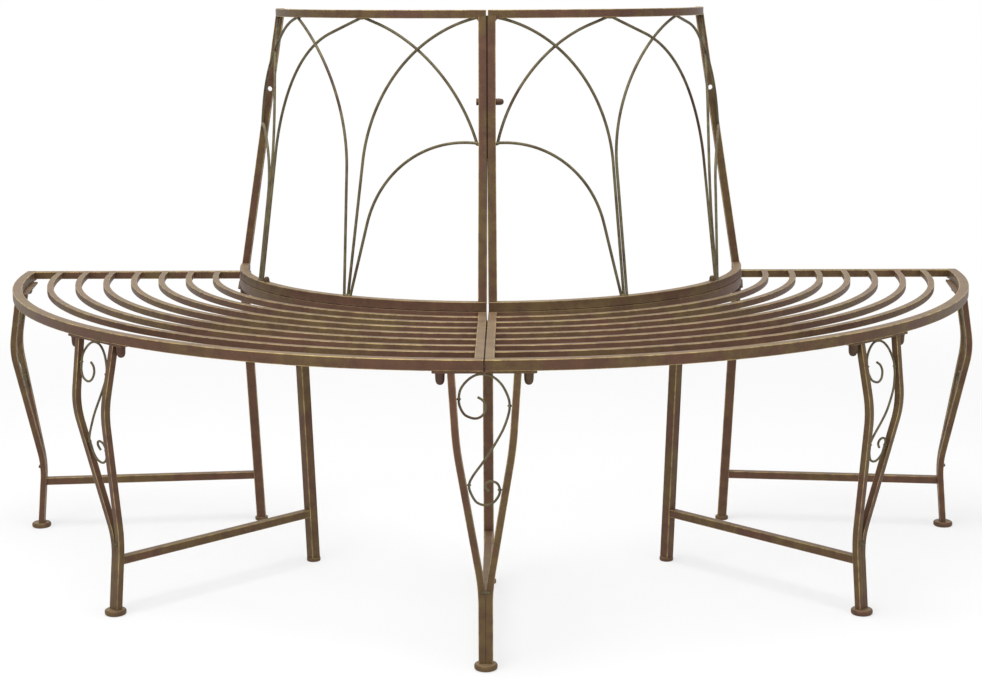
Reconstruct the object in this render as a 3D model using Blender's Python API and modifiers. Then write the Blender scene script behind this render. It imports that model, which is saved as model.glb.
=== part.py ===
"""A half-round tree bench in welded steel tube: two seat quadrants, two backrest panels, five leg frames.

The bench is laid out round the tree's axis. Its front is towards -Y, its straight open back is at +Y, and
Z = 0 is the floor under the feet. Every piece is shaped for the right half, or for a leg at the front
centre, and is then mirrored in X or turned round the tree's axis to its place.
"""

import math

import bmesh
import bpy
from mathutils import Matrix, Vector

# Driving dimensions, in metres
seat_radius = 0.800  # outer edge of the seat, from the tree's axis
seat_opening_radius = 0.4135  # inner edge of the seat, round the tree
seat_height = 0.432
bench_height = 0.8775
top_rail_inner_radius = 0.3448
half_gap = 0.003  # between the two halves of the bench
contact_gap = 0.0003  # left between pieces that touch

rail_size = 0.0155  # square tube of the seat's curved rails and the rear legs
frame_size = 0.0125  # square tube of the backrest, the straight seat rails and the stretchers
bar_size = 0.010  # square tube of the slats and the front legs
slats_per_half = 7
front_opening_share = 1.12  # of the opening behind the front rail, to the openings between the slats
arc_steps = 24
slat_arc_steps = 18

wire_diameter = 0.0045  # round bar of the backrest's arches
high_arch_set_back = 0.003  # behind the wire that it crosses, so that the two lie on each other
end_arch_bulge = 0.005  # of the high arches by the end posts, out of the leaning surface
end_arch_set_out = 0.0037  # of the arches' ends on the end posts
end_hole_diameter = 0.0084  # in the end posts, for the bolts of a second bench
stem_overlap = 0.001  # between two stems that are welded together at the base rail
joint_share = 0.71  # of the room between the rails, at the bolt and the end posts' holes
bolt_diameter = 0.006
bolt_hole_clearance = 0.0006
bolt_head_size = 0.010
bolt_head_height = 0.0035
cap_nut_length = 0.012
cap_nut_radius = 0.005
panel_nut_height = 0.009  # on the bolt that holds a base rail down
panel_nut_clearance = 0.0035  # between that nut and the wires beside it
panel_washer_height = 0.0015  # holds a base rail just clear of the seat
panel_washer_inset = 0.0004  # of a washer's edge, from the base rail's faces
post_inset = 0.0005  # of a post's front and rear, from the faces of the rails it is welded to

end_leg_angle = math.radians(6.5)  # of an end leg frame, from the bench's straight back
leg_plate_length = 0.139
leg_plate_width = 0.022
leg_plate_thickness = 0.003
leg_plate_set_in = 0.0025  # from the outer edge of the seat
leg_top_spread = 0.044  # half the distance between the two tubes, at the seat
leg_knee_spread = 0.0375
leg_column_spread = 0.0048
leg_knee_height = 0.317
leg_joint_height = 0.110
leg_knee_bulge = 0.016  # outwards, past the middle of the seat's outer rail
leg_joint_inset = 0.0225  # inwards, from the middle of the seat's outer rail
leg_foot_inset = 0.0125
leg_bend = 0.022  # half the height that a bend in a leg takes
leg_levels = 16
foot_radius = 0.016
foot_height = 0.0085
foot_edge = 0.003

scroll_diameter = 0.0034
scroll_height = 0.1775

stud_spread = 0.0585  # half the distance between a leg plate's two studs
dome_nut_radius = 0.007
dome_nut_height = 0.0165
stud_depth = 0.0075  # of a stud in its dome nut

rear_plate_length = 0.080
rear_plate_width = 0.020
rear_nut_spread = 0.028
rear_leg_foot_inset = 0.018  # towards the tree's axis, from the middle of the seat's inner rail
rear_cap_radius = 0.011
rear_cap_height = 0.0065
rear_cap_edge = 0.0015
stretcher_height = 0.081

cut_overrun = 0.004  # how far a cutter, or a bar that a join swallows, runs past the face

# Sizes that follow from those above
wire_radius = wire_diameter / 2
scroll_radius = scroll_diameter / 2
outer_rail_radius = seat_radius - rail_size / 2
inner_rail_radius = seat_opening_radius + rail_size / 2
top_rail_radius = top_rail_inner_radius + frame_size / 2
rear_leg_foot_radius = inner_rail_radius - rear_leg_foot_inset
half_edge = half_gap / 2
base_rail_bottom = seat_height + contact_gap + panel_washer_height
base_rail_top = base_rail_bottom + frame_size
base_rail_middle = base_rail_bottom + frame_size / 2
top_rail_bottom = bench_height - frame_size
top_rail_middle = bench_height - frame_size / 2
plate_top = seat_height - rail_size - contact_gap
plate_bottom = plate_top - leg_plate_thickness
wire_map_radius = (inner_rail_radius + top_rail_radius) / 2

quarter = math.radians(90)
leg_turns = {
    "left_end": end_leg_angle - quarter,
    "left": -quarter / 2,
    "middle": 0.0,
    "right": quarter / 2,
    "right_end": quarter - end_leg_angle,
}

# The bends of the wires that rise from one place. They are bent by hand, and no two bunches are quite alike.
# Angles are shares of a quarter turn, from the bench's middle or from its straight back, and leans and slopes
# are too, from upright. Heights are shares of the room between the rails. Each bunch has the stem, spring and
# lean of the arch to the post's head; the stem, spring, lean, last slope and top of the arch towards the
# panel's middle; the spring, lean and end of the low arch; and the lean, last slope and top of the high one.
bunch_shares = {
    ("left", "middle"): (
        (0.342, 0.485, 0.026), (0.351, 0.448, 0.046, 0.787, 0.660), (0.262, 0.113, 0.559), (0.194, 0.813, 0.369)
    ),
    ("right", "middle"): (
        (0.329, 0.479, 0.000), (0.338, 0.464, 0.002, 0.874, 0.642), (0.261, 0.113, 0.560), (0.146, 0.812, 0.358)
    ),
    ("left", "end"): (
        (0.314, 0.389, 0.051), (0.332, 0.489, -0.037, 0.782, 0.637), (0.316, 0.051, 0.557), (0.098, 0.854, 0.336)
    ),
    ("right", "end"): (
        (0.326, 0.150, 0.078), (0.338, 0.459, -0.055, 0.775, 0.644), (0.330, 0.200, 0.557), (0.020, 0.855, 0.356)
    ),
}  # fmt: skip
corner_share = 0.9  # of a post's width, where the middle of a wire meets the top rail
bulge_share = 0.8  # of a high arch's height, up to where its bulge ends

# Places along a leg's scroll: across as a share of the room to the tube, down as a share of its height
scroll_shares = (
    (-0.26, 0.165), (-0.04, 0.195), (0.05, 0.245), (-0.08, 0.300), (-0.38, 0.322), (-0.76, 0.297),
    (-0.94, 0.240), (-0.97, 0.180), (-0.87, 0.105), (-0.57, 0.036), (-0.20, 0.000), (0.25, 0.012),
    (0.62, 0.072), (0.88, 0.160), (0.97, 0.230), (0.93, 0.305), (0.74, 0.412), (0.32, 0.552),
    (-0.06, 0.648), (-0.66, 0.765), (-0.95, 0.836), (-0.93, 0.900), (-0.62, 0.975), (0.03, 1.000),
    (0.62, 0.978), (0.93, 0.925), (0.95, 0.875), (0.75, 0.825), (0.39, 0.806), (0.10, 0.818),
    (0.03, 0.850), (0.26, 0.885),
)  # fmt: skip


# The scene


def clear_scene():
    for obj in list(bpy.data.objects):
        bpy.data.objects.remove(obj)


def collection_for(name):
    collection = bpy.data.collections.new(name)
    bpy.context.scene.collection.children.link(collection)
    return collection


def metal(name, colour, roughness):
    """Satin bronze paint on steel."""
    material = bpy.data.materials.new(name)
    material.use_nodes = True
    shader = material.node_tree.nodes["Principled BSDF"]
    shader.inputs["Base Color"].default_value = (*colour, 1.0)
    shader.inputs["Roughness"].default_value = roughness
    shader.inputs["Metallic"].default_value = 0.6
    return material


def place(name, mesh, material, turn=0.0):
    """A named piece of the bench, turned round the tree's axis."""
    obj = bpy.data.objects.new(name, mesh)
    bench.objects.link(obj)
    obj.parent = tree_axis
    obj.rotation_euler.z = turn
    mesh.materials.clear()
    mesh.materials.append(material)
    mesh.shade_smooth()
    mesh.set_sharp_from_angle(angle=math.radians(35))
    return obj


# Meshes


def finished(bm):
    """A mesh from a closed bmesh, with its faces turned outwards."""
    bmesh.ops.recalc_face_normals(bm, faces=bm.faces)
    mesh = bpy.data.meshes.new("piece")
    bm.to_mesh(mesh)
    bm.free()
    return mesh


def evaluated_mesh(obj):
    """The object's mesh with its modifiers or its bevel applied. The object is removed."""
    graph = bpy.context.evaluated_depsgraph_get()
    mesh = bpy.data.meshes.new_from_object(obj.evaluated_get(graph))
    bpy.data.objects.remove(obj)
    return mesh


def joined(parts, cutters=()):
    """One mesh: the parts united, and the cutters taken away."""
    objects = []
    for mesh in (*parts, *cutters):
        obj = bpy.data.objects.new("tool", mesh)
        bpy.context.scene.collection.objects.link(obj)
        objects.append(obj)
    base = objects[0]
    for index, tool in enumerate(objects[1:], 1):
        boolean = base.modifiers.new("join", "BOOLEAN")
        boolean.operation = "UNION" if index < len(parts) else "DIFFERENCE"
        boolean.object = tool
    mesh = evaluated_mesh(base)
    for tool in objects[1:]:
        bpy.data.objects.remove(tool)
    return mesh


def mirrored(mesh):
    """The left half's copy of a right half's mesh."""
    copy = mesh.copy()
    copy.transform(Matrix.Scale(-1, 4, Vector((1, 0, 0))))
    copy.flip_normals()
    return copy


def keep_side(bm, point, normal):
    """Cuts off what lies beyond a plane, on its normal's side, and closes the cut."""
    geometry = bm.verts[:] + bm.edges[:] + bm.faces[:]
    bmesh.ops.bisect_plane(bm, geom=geometry, plane_co=point, plane_no=normal, clear_outer=True)
    bmesh.ops.holes_fill(bm, edges=[edge for edge in bm.edges if edge.is_boundary])


def bar(start, end, width, height):
    """A straight bar of rectangular section. The width is level, across the line from start to end."""
    start, end = Vector(start), Vector(end)
    along = (end - start).normalized()
    level = along.cross(Vector((0, 0, 1)))
    level = level.normalized() if level.length > 0.01 else Vector((1, 0, 0))
    up = level.cross(along)
    frame = Matrix((level, along, up)).transposed().to_4x4()
    frame.translation = (start + end) / 2
    size = Matrix.Diagonal((width, (end - start).length, height, 1))
    bm = bmesh.new()
    bmesh.ops.create_cube(bm, size=1, matrix=frame @ size)
    return finished(bm)


def rod(start, end, radius, sides):
    """A straight round bar."""
    start, end = Vector(start), Vector(end)
    along = end - start
    frame = Matrix.Translation((start + end) / 2) @ along.to_track_quat("Z", "Y").to_matrix().to_4x4()
    bm = bmesh.new()
    bmesh.ops.create_cone(
        bm, cap_ends=True, segments=sides, radius1=radius, radius2=radius, depth=along.length, matrix=frame
    )
    return finished(bm)


def quarter_rail(radius, top, size, from_middle, from_back, steps):
    """A square bar bent round the tree's axis, cut at two distances from the middle and the back."""
    overrun = math.radians(2)
    bm = bmesh.new()
    place_section = Matrix.Translation((0, -radius, top - size / 2)) @ Matrix.Rotation(quarter, 4, "Y")
    bmesh.ops.create_grid(
        bm, x_segments=1, y_segments=1, size=0.5, matrix=place_section @ Matrix.Scale(size, 4)
    )
    bmesh.ops.rotate(bm, verts=bm.verts, matrix=Matrix.Rotation(-overrun, 3, "Z"))
    section = bm.verts[:] + bm.edges[:] + bm.faces[:]
    bmesh.ops.spin(
        bm, geom=section, axis=(0, 0, 1), cent=(0, 0, 0), angle=quarter + 2 * overrun, steps=steps
    )
    keep_side(bm, (from_middle, 0, 0), (-1, 0, 0))
    keep_side(bm, (0, -from_back, 0), (0, 1, 0))
    return finished(bm)


def turned(profile, steps):
    """A solid of revolution about Z. The profile runs down its outer side, from the axis to the axis."""
    mesh = bpy.data.meshes.new("profile")
    edges = [(index, index + 1) for index in range(len(profile) - 1)]
    mesh.from_pydata([(radius, 0, height) for radius, height in profile], edges, [])
    obj = bpy.data.objects.new("profile", mesh)
    bpy.context.scene.collection.objects.link(obj)
    screw = obj.modifiers.new("turn", "SCREW")
    screw.steps = screw.render_steps = steps
    screw.use_merge_vertices = True
    screw.merge_threshold = contact_gap / 100
    return evaluated_mesh(obj)


def wire(points, radius, sides_level=1):
    """A round wire through the points."""
    curve = bpy.data.curves.new("wire", "CURVE")
    curve.dimensions = "3D"
    curve.bevel_depth = radius
    curve.bevel_resolution = sides_level
    curve.use_fill_caps = True
    spline = curve.splines.new("POLY")
    spline.points.add(len(points) - 1)
    for point, place_in_space in zip(spline.points, points):
        point.co = (*place_in_space, 1)
    obj = bpy.data.objects.new("wire", curve)
    bpy.context.scene.collection.objects.link(obj)
    mesh = evaluated_mesh(obj)
    bm = bmesh.new()
    bm.from_mesh(mesh)
    bmesh.ops.remove_doubles(bm, verts=bm.verts, dist=radius / 100)
    return finished(bm)


def domed_nut(radius, length, hole=((0, 0),)):
    """A domed nut that hangs from Z = 0, with a blind hole where the hole's profile is given."""
    barrel = length - radius
    dome = [(radius * math.cos(angle), -barrel - radius * math.sin(angle))
            for angle in (quarter * step / 3 for step in range(3))]  # fmt: skip
    return turned([*hole, (radius, 0), *dome, (0, -length)], 14)


def moved(mesh, offset):
    copy = mesh.copy()
    copy.transform(Matrix.Translation(offset))
    return copy


# Seat quadrants


def stud_place(offset, ring_radius):
    """A point of a rail's middle line, this far to the side of a leg at the front centre."""
    return Vector((offset, -math.sqrt(ring_radius**2 - offset**2), 0))


stud_places_of_right_half = (
    ("middle", stud_spread),
    ("right", -stud_spread),
    ("right", stud_spread),
    ("right_end", -stud_spread),
    ("right_end", stud_spread),
)


def seat_frame():
    """Two curved rails, two straight rails and the welded studs that the leg plates hang on."""
    parts = [
        quarter_rail(outer_rail_radius, seat_height, rail_size, half_edge, 0, arc_steps),
        quarter_rail(inner_rail_radius, seat_height, rail_size, half_edge, 0, arc_steps),
    ]
    middle = half_edge + frame_size / 2
    level = seat_height - frame_size / 2
    middle_rail = (middle, -outer_rail_radius, level), (middle, -inner_rail_radius, level)
    back_rail = (inner_rail_radius, -frame_size / 2, level), (outer_rail_radius, -frame_size / 2, level)
    parts += [bar(*middle_rail, frame_size, frame_size), bar(*back_rail, frame_size, frame_size)]
    tip = Vector((0, 0, plate_bottom - contact_gap - stud_depth))
    root = Vector((0, 0, seat_height - rail_size + cut_overrun))
    for leg, offset in stud_places_of_right_half:
        turn = Matrix.Rotation(leg_turns[leg], 4, "Z")
        foot = turn @ stud_place(offset, outer_rail_radius)
        parts.append(rod(foot + root, foot + tip, bolt_diameter / 2, 10))
    return joined(parts)


def slat(index):
    """One of the concentric slats, flush with the rails."""
    room = outer_rail_radius - inner_rail_radius - rail_size - slats_per_half * bar_size
    opening = room / (slats_per_half + front_opening_share)
    first = inner_rail_radius + rail_size / 2 + opening + bar_size / 2
    radius = first + index * (opening + bar_size)
    end_clearance = frame_size + contact_gap
    return quarter_rail(
        radius, seat_height, bar_size, half_edge + end_clearance, end_clearance, slat_arc_steps
    )


# Backrest panels


def lean_radius(height):
    """The radius of the backrest's middle surface, which leans in towards the tree."""
    share = (height - base_rail_middle) / (top_rail_middle - base_rail_middle)
    return inner_rail_radius + (top_rail_radius - inner_rail_radius) * share


def level_on_backrest(share):
    """The height at a share of the room between the base rail and the top rail."""
    return base_rail_top + (top_rail_bottom - base_rail_top) * share


def back_frame():
    """Base rail, top rail and two posts, cut flush at the joints, with a bolt hole through each post.

    The base rail stands on washers, and a bolt comes up through it to a domed nut.
    """
    rail_start = half_edge - 2 * cut_overrun
    rail_end = -2 * cut_overrun
    width = frame_size + cut_overrun
    depth = frame_size - 2 * post_inset
    middle = half_edge + frame_size - width / 2
    back = width / 2 - frame_size
    low, high = lean_radius(base_rail_middle), lean_radius(top_rail_middle)
    middle_post = (middle, -low, base_rail_middle), (middle, -high, top_rail_middle)
    end_post = (low, back, base_rail_middle), (high, back, top_rail_middle)
    parts = [
        quarter_rail(inner_rail_radius, base_rail_top, frame_size, rail_start, rail_end, arc_steps),
        quarter_rail(top_rail_radius, bench_height, frame_size, rail_start, rail_end, arc_steps),
        post(*middle_post, width, depth),
        post(*end_post, depth, width),
    ]
    stem_angle = quarter * (1 - max(bunch_shares[side, "end"][1][0] for side in ("left", "right")))
    from_stem = wire_radius + panel_nut_clearance + cap_nut_radius
    nut_angle = stem_angle - from_stem / inner_rail_radius
    nut_place = Vector((math.sin(nut_angle), -math.cos(nut_angle), 0)) * inner_rail_radius
    by_middle_post = Vector((half_edge + frame_size / 2, -inner_rail_radius, 0))
    by_end_post = Vector((inner_rail_radius, -frame_size / 2, 0))
    washer_bottom = Vector((0, 0, base_rail_bottom - panel_washer_height))
    washer_top = Vector((0, 0, base_rail_middle))
    for place_on_seat in (by_middle_post, nut_place, by_end_post):
        ends = place_on_seat + washer_bottom, place_on_seat + washer_top
        parts.append(rod(*ends, frame_size / 2 - panel_washer_inset, 14))
    nut = domed_nut(cap_nut_radius, panel_nut_height + cut_overrun)
    nut.transform(Matrix.Rotation(2 * quarter, 4, "X"))
    parts.append(moved(nut, nut_place + Vector((0, 0, base_rail_top - cut_overrun))))
    height = level_on_backrest(joint_share)
    radius = lean_radius(height)
    hole_radius = bolt_diameter / 2 + bolt_hole_clearance / 2
    reach = frame_size + half_gap + cut_overrun
    middle_hole = (-cut_overrun, -radius, height), (reach, -radius, height)
    end_hole = (radius, 2 * cut_overrun, height), (radius, -reach, height)
    cutters = [rod(*middle_hole, hole_radius, 12), rod(*end_hole, end_hole_diameter / 2, 12)]
    bm = bmesh.new()
    bm.from_mesh(joined(parts))
    keep_side(bm, (half_edge, 0, 0), (-1, 0, 0))
    keep_side(bm, (0, 0, 0), (0, 1, 0))
    return joined([finished(bm)], cutters)


def post(foot, head, width, depth):
    """A leaning post of level section, so that its sides stay in the planes of the bench's joints."""
    foot, head = Vector(foot), Vector(head)
    rise = head - foot
    bm = bmesh.new()
    bmesh.ops.create_cube(bm, size=1, matrix=Matrix.Diagonal((width, depth, rise.z, 1)))
    for vertex in bm.verts:
        share = vertex.co.z / rise.z
        vertex.co += Vector((rise.x * share, rise.y * share, 0))
    bmesh.ops.translate(bm, verts=bm.verts, vec=(foot + head) / 2)
    return finished(bm)


def on_backrest(along, height, set_back=0.0):
    """The point of the leaning surface at a distance round it from the bench's middle plane."""
    angle = along / wire_map_radius
    radius = lean_radius(height) - set_back
    return Vector((radius * math.sin(angle), -radius * math.cos(angle), height))


def tangent_arc(start, end, lean, steps, slope=None):
    """Points of the arc that leaves the start at this angle from upright and passes through the end.

    With a slope, it turns only as far as that angle from upright, and runs on straight to the end.
    """
    side = 1 if end[0] > start[0] else -1
    across, rise = side * (end[0] - start[0]), end[1] - start[1]
    last = 2 * math.atan2(across, rise) - lean if slope is None else slope
    radius = (across * math.cos(last) - rise * math.sin(last)) / (math.cos(last - lean) - 1)
    points = []
    for index in range(steps + 1):
        angle = lean + (last - lean) * index / steps
        along = start[0] + side * radius * (math.cos(lean) - math.cos(angle))
        points.append((along, start[1] + radius * (math.sin(angle) - math.sin(lean))))
    return points if slope is None else [*points, end]


def arch_wire(stem, spring, lean, end, slope=None):
    """A wire that rises from the base rail on a straight stem, then curves over to its end."""
    side = 1 if end[0] > stem else -1
    low = base_rail_bottom
    spring_height = level_on_backrest(spring)
    foot = (stem - side * math.tan(lean) * (base_rail_top - low), low)
    spring = (stem + side * math.tan(lean) * (spring_height - base_rail_top), spring_height)
    return [foot, *tangent_arc(spring, end, lean, 10, slope)]


def flat_wire(points, from_back, set_backs):
    """A wire of the backrest, cut flat just clear of the rails and of the posts' faces."""
    last, before = Vector(points[-1]), Vector(points[-2])
    points = [*points, tuple(last + (last - before).normalized() * 4 * wire_diameter)]
    places = []
    for (along, height), set_back in zip(points, [*set_backs, set_backs[-1]]):
        if from_back:
            along = quarter * wire_map_radius - along
        places.append(on_backrest(along, height, set_back))
    bm = bmesh.new()
    bm.from_mesh(wire(places, wire_radius))
    keep_side(bm, (0, 0, base_rail_top + contact_gap), (0, 0, -1))
    keep_side(bm, (0, 0, top_rail_bottom - contact_gap), (0, 0, 1))
    keep_side(bm, (half_edge + frame_size + contact_gap, 0, 0), (-1, 0, 0))
    keep_side(bm, (0, -frame_size - contact_gap, 0), (0, 1, 0))
    return finished(bm)


def arches_beside_post(side, post_name):
    """Three arches that rise beside one post: over to its head, up to it, and from it to the top rail."""
    inward_shares, _, lower_shares, high_shares = bunch_shares[side, post_name]
    from_back = post_name == "end"
    post_face = frame_size if from_back else half_edge + frame_size
    set_out = end_arch_set_out if from_back else 0
    bulge = end_arch_bulge if from_back else 0
    crown = top_rail_bottom

    stem, spring, lean = inward_shares
    stem *= quarter * wire_map_radius
    corner = post_face * corner_share * wire_map_radius / top_rail_radius
    inward = arch_wire(stem, spring, quarter * lean, (corner, crown))

    spring, lean, meeting = lower_shares
    meeting = level_on_backrest(meeting)
    at_meeting = wire_map_radius / lean_radius(meeting)
    low_stem = stem - wire_diameter + stem_overlap
    low_end = post_face * at_meeting
    low_arch = arch_wire(low_stem, spring, quarter * lean, (low_end, meeting))
    low_shares = [min(max((low_stem - along) / (low_stem - low_end), 0), 1) for along, _ in low_arch]
    low_set_backs = [-set_out * share**2 for share in low_shares]

    lean, slope, top = high_shares
    foot = (post_face + contact_gap + wire_radius) * at_meeting, meeting
    head = quarter * top * wire_map_radius, crown
    high_arch = tangent_arc(foot, head, quarter * lean, 10, quarter * slope)
    high_set_backs = []
    for _, height in high_arch:
        share = (height - meeting) / (crown - meeting)
        ahead = set_out * (1 - share) + bulge * math.sin(2 * quarter * min(share / bulge_share, 1))
        back = high_arch_set_back * share if from_back else high_arch_set_back
        high_set_backs.append(back - ahead)

    wires = [
        flat_wire(inward, from_back, [0.0] * len(inward)),
        flat_wire(low_arch, from_back, low_set_backs),
        flat_wire(high_arch, from_back, high_set_backs),
    ]
    return joined(wires)


def outward_arch(side, post_name):
    """An arch that rises beside the others and crosses the middle of the panel to the top rail."""
    stem, spring, lean, slope, top = bunch_shares[side, post_name][1]
    end = quarter * top * wire_map_radius, top_rail_bottom
    points = arch_wire(quarter * stem * wire_map_radius, spring, quarter * lean, end, quarter * slope)
    set_back = high_arch_set_back - wire_diameter - contact_gap
    return flat_wire(points, post_name == "end", [set_back] * len(points))


def arch_wires(side):
    """One panel's three groups of wires, shaped as the right panel's."""
    return {
        "post_arches": arches_beside_post(side, "middle"),
        "middle_arches": joined([outward_arch(side, "middle"), outward_arch(side, "end")]),
        "end_arches": arches_beside_post(side, "end"),
    }


def joint_bolt():
    """Hex bolt through the two middle posts, with its domed cap nut run home on the right."""
    height = level_on_backrest(joint_share)
    face = half_edge + frame_size + contact_gap
    centre = Vector((0, -lean_radius(height), height))
    right = Vector((1, 0, 0))
    head_radius = bolt_head_size / math.sqrt(3)
    head = rod(centre - right * (face + bolt_head_height), centre - right * face, head_radius, 6)
    tip = cap_nut_length / 2
    shank = rod(
        centre - right * (face + bolt_head_height / 2), centre + right * (face + tip), bolt_diameter / 2, 12
    )
    nut = domed_nut(cap_nut_radius, cap_nut_length)
    nut.transform(Matrix.Translation(centre + right * face) @ Matrix.Rotation(-quarter, 4, "Y"))
    return joined([shank, head, nut])


# Leg frames, shaped for the front centre


def bent(height, stations):
    """A value that runs straight between stations (height, value) and bends softly at the inner ones."""

    def straight(level):
        pairs = list(zip(stations, stations[1:]))
        for (upper, first), (lower, second) in pairs:
            if level >= lower or (upper, first) == pairs[-1][0]:
                return first + (second - first) * (upper - level) / (upper - lower)

    samples = 8
    offsets = [leg_bend * (2 * index / samples - 1) for index in range(samples + 1)]
    return sum(straight(height + offset) for offset in offsets) / len(offsets)


def leg_radius(height):
    return bent(
        height,
        (
            (plate_bottom, outer_rail_radius),
            (leg_knee_height, outer_rail_radius + leg_knee_bulge),
            (leg_joint_height, outer_rail_radius - leg_joint_inset),
            (0, outer_rail_radius - leg_foot_inset),
        ),
    )


def leg_spread(height):
    return bent(
        height,
        (
            (plate_bottom, leg_top_spread),
            (leg_knee_height, leg_knee_spread),
            (leg_joint_height, leg_column_spread),
            (0, leg_column_spread),
        ),
    )


def tube_heights():
    """Heights at which a front leg's tube bends, from its foot to the plate under the seat."""
    bottom = foot_height + contact_gap
    top = plate_bottom + leg_plate_thickness / 2
    return [bottom + (top - bottom) * index / leg_levels for index in range(leg_levels + 1)]


def bent_tube(side):
    """One square tube of a front leg."""
    bottom, *_, top = tube_heights()
    bm = bmesh.new()
    size = Matrix.Diagonal((bar_size, bar_size, top - bottom, 1))
    bmesh.ops.create_cube(bm, size=1, matrix=Matrix.Translation((0, 0, (top + bottom) / 2)) @ size)
    upright = [edge for edge in bm.edges if abs(edge.verts[0].co.z - edge.verts[1].co.z) > bar_size]
    bmesh.ops.subdivide_edges(bm, edges=upright, cuts=leg_levels - 1)
    for vertex in bm.verts:
        height = vertex.co.z
        vertex.co += Vector((side * leg_spread(height), -leg_radius(height), 0))
    return finished(bm)


def plate(length, width, middle_radius):
    middle = plate_bottom + leg_plate_thickness / 2
    ends = (-length / 2, -middle_radius, middle), (length / 2, -middle_radius, middle)
    return bar(*ends, width, leg_plate_thickness)


def front_leg():
    """Two bent tubes that run side by side at the foot, welded to the plate that hangs under the seat."""
    plate_radius = seat_radius - leg_plate_set_in - leg_plate_width / 2
    parts = [plate(leg_plate_length, leg_plate_width, plate_radius), bent_tube(-1), bent_tube(1)]
    hole_radius = bolt_diameter / 2 + bolt_hole_clearance / 2
    cutters = []
    for side in (-1, 1):
        middle = stud_place(side * stud_spread, outer_rail_radius)
        above = middle + Vector((0, 0, plate_top + cut_overrun))
        below = middle + Vector((0, 0, plate_bottom - cut_overrun))
        cutters.append(rod(above, below, hole_radius, 10))
    return joined(parts, cutters)


def smooth_path(places, pieces):
    """Points of a smooth curve through the places."""
    padded = [places[0], *places, places[-1]]
    points = []
    for a, b, c, d in zip(padded, padded[1:], padded[2:], padded[3:]):
        for index in range(pieces):
            t = index / pieces
            curve = 2 * b + (c - a) * t + (2 * a - 5 * b + 4 * c - d) * t**2
            points.append((curve + (3 * b - a - 3 * c + d) * t**3) / 2)
    return [*points, places[-1]]


def scroll():
    """The S-shaped wire that fills a front leg, from the plate down to where the tubes close in."""
    crown = plate_bottom - contact_gap - scroll_radius
    places = []
    for across_share, down_share in scroll_shares:
        height = crown - down_share * scroll_height
        room = leg_spread(height) - bar_size / 2 - scroll_radius - contact_gap
        places.append(Vector((across_share * room, -leg_radius(height), height)))
    return wire(smooth_path(places, 2), scroll_radius)


def disc(radius, height, edge, steps):
    """A round foot with softened edges, standing on Z = 0."""
    corner = [quarter * index / 2 for index in range(3)]
    top = [(radius - edge + edge * math.sin(a), height - edge + edge * math.cos(a)) for a in corner]
    bottom = [(radius - edge + edge * math.cos(a), edge - edge * math.sin(a)) for a in corner]
    return turned([(0, height), *top, *bottom, (0, 0)], steps)


def rear_leg_radius(height):
    return rear_leg_foot_radius + (inner_rail_radius - rear_leg_foot_radius) * height / plate_top


def rear_leg():
    """A square tube under the inner rail with its plate, its two nuts and the stretcher to the front leg."""
    bottom = rear_cap_height + contact_gap
    top = plate_bottom + leg_plate_thickness / 2
    tube_ends = (0, -rear_leg_radius(bottom), bottom), (0, -rear_leg_radius(top), top)
    tube = post(*tube_ends, rail_size, rail_size)
    levels = stretcher_height - frame_size / 2, stretcher_height + frame_size / 2
    front = min(leg_radius(level) for level in levels) - bar_size / 2 - contact_gap
    ends = (0, -front, stretcher_height), (0, -rear_leg_radius(stretcher_height), stretcher_height)
    parts = [plate(rear_plate_length, rear_plate_width, inner_rail_radius), tube]
    parts.append(bar(*ends, frame_size, frame_size))
    nut = domed_nut(dome_nut_radius, dome_nut_height)
    nut_level = Vector((0, 0, plate_bottom + leg_plate_thickness / 2))
    for side in (-1, 1):
        parts.append(moved(nut, stud_place(side * rear_nut_spread, inner_rail_radius) + nut_level))
    return joined(parts)


# The bench

clear_scene()
bench = collection_for("tree_bench")
tree_axis = bpy.data.objects.new("tree_axis", None)
tree_axis.location.y = (max(leg_radius(height) for height in tube_heights()) + bar_size / 2) / 2
bench.objects.link(tree_axis)

rail_paint = metal("rail_bronze", (0.145, 0.088, 0.058), 0.42)
slat_paint = metal("slat_bronze", (0.150, 0.094, 0.060), 0.42)
wire_paint = metal("wire_olive_bronze", (0.155, 0.125, 0.068), 0.40)
leg_paint = metal("leg_bronze", (0.135, 0.088, 0.055), 0.44)
foot_paint = metal("foot_bronze", (0.130, 0.090, 0.055), 0.48)
nut_paint = metal("nut_bronze", (0.085, 0.058, 0.042), 0.50)

halves = {"right": lambda mesh: mesh, "left": mirrored}

frame_mesh = seat_frame()
back_mesh = back_frame()
slat_meshes = [slat(index) for index in range(slats_per_half)]
for side, to_side in halves.items():
    place(f"seat_frame_{side}", to_side(frame_mesh), rail_paint)
    place(f"back_frame_{side}", to_side(back_mesh), rail_paint)
    for index, mesh in enumerate(slat_meshes, 1):
        place(f"slat_{side}_{index}", to_side(mesh), slat_paint)
    for group, mesh in arch_wires(side).items():
        place(f"{group}_{side}", to_side(mesh), wire_paint)
place("joint_bolt", joint_bolt(), nut_paint)

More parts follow.
